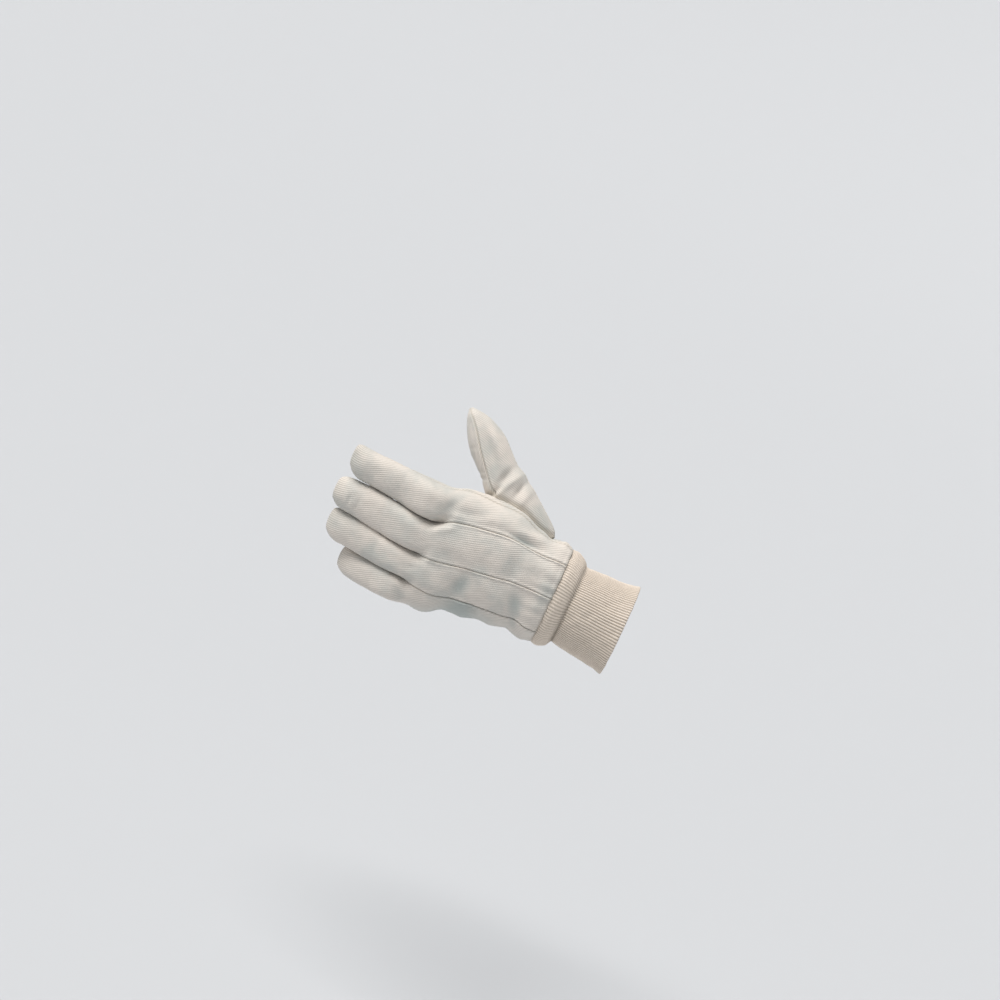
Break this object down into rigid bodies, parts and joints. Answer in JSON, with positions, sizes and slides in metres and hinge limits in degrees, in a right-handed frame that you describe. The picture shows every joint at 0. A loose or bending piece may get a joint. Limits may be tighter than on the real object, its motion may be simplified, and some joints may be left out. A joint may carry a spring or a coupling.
{
  "type": "cotton work glove",
  "caption": "Left-hand cotton drill work glove in its worn form, with strip-seamed back, set-in thumb and a ribbed knit wrist.",
  "frame": {"origin": "centre of the cuff's open end, where the wrist goes in", "axes": "+X out of the cuff along the wrist, fingers towards -X, back of the hand towards -Y, palm towards +Y, thumb side up at +Z"},
  "size_m": [0.2493, 0.0683, 0.1632],
  "materials": {
    "cotton_drill": "unbleached cotton drill with a fine twill",
    "rib_knit": "ribbed cotton knit"
  },
  "bodies": {
    "root": {"back_index": "cotton_drill", "back_middle": "cotton_drill", "back_ring": "cotton_drill", "back_little": "cotton_drill", "palm_thumb_side": "cotton_drill", "palm_centre": "cotton_drill", "middle_finger_front": "cotton_drill", "palm_outer": "cotton_drill", "thumb_back": "cotton_drill", "thumb_front": "cotton_drill", "knit_cuff": "rib_knit"}
  },
  "joints": []
}
